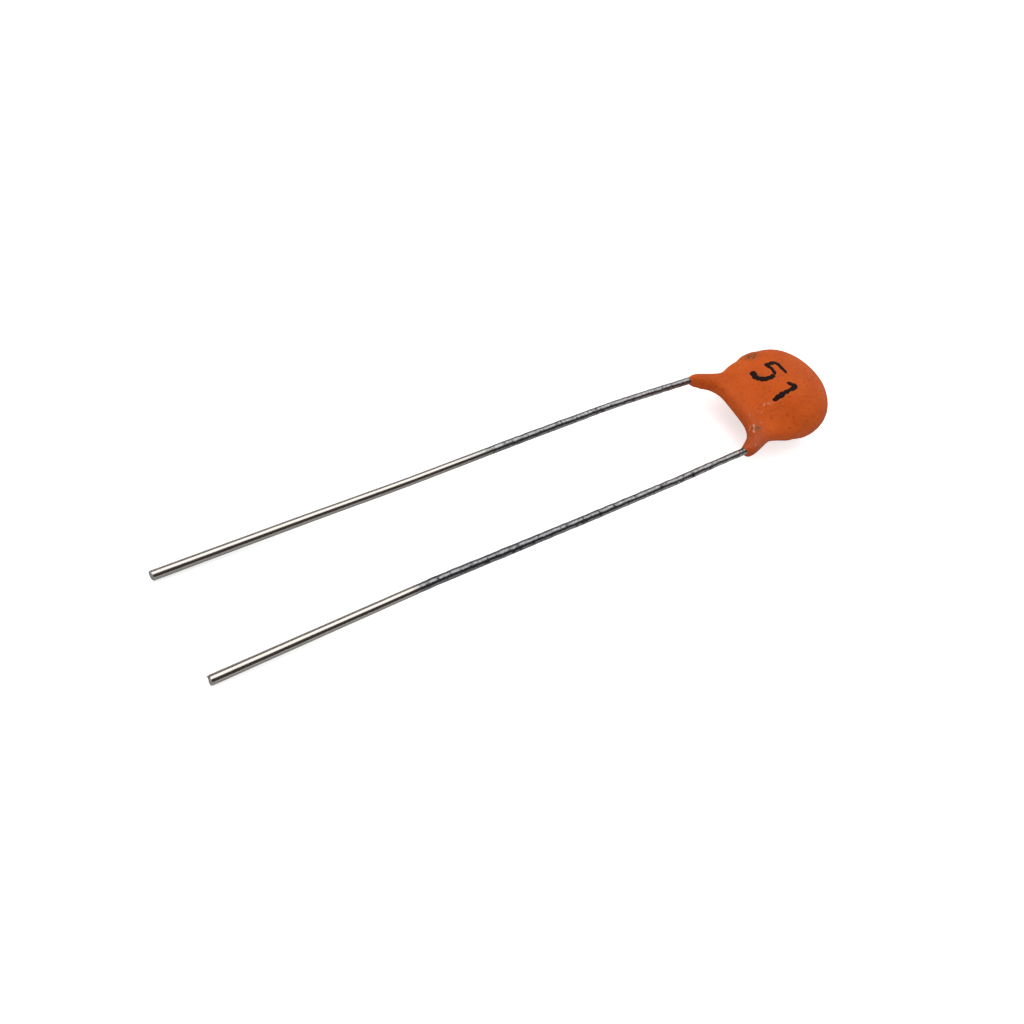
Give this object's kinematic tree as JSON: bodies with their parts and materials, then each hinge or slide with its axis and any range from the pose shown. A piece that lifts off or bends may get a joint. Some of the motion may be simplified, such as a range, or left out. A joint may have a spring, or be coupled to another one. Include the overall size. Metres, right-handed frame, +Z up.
{
  "type": "ceramic disc capacitor",
  "caption": "Radial ceramic disc capacitor: a domed, resin-dipped disc whose coating runs down onto long bare wire leads that are soldered into a circuit board.",
  "frame": {"origin": "on the surface that the part lies on, at the middle of its length and width", "axes": "+X from the cut ends of the leads towards the disc, +Y across the leads towards the back lead, +Z up through the disc's faces"},
  "size_m": [0.037, 0.0058, 0.0032],
  "materials": {
    "dipped_resin": "satin orange resin, dipped and cured",
    "fired_ceramic": "matt fired ceramic",
    "fired_silver": "matt silver, screen printed and fired",
    "solder": "bright solder",
    "tinned_wire": "drawn wire, hot tinned"
  },
  "bodies": {
    "root": {"coating": "dipped_resin", "ceramic_disc": "fired_ceramic", "front_electrode": "fired_silver", "back_electrode": "fired_silver", "front_solder": "solder", "back_solder": "solder", "front_lead": "tinned_wire", "back_lead": "tinned_wire"}
  },
  "joints": []
}
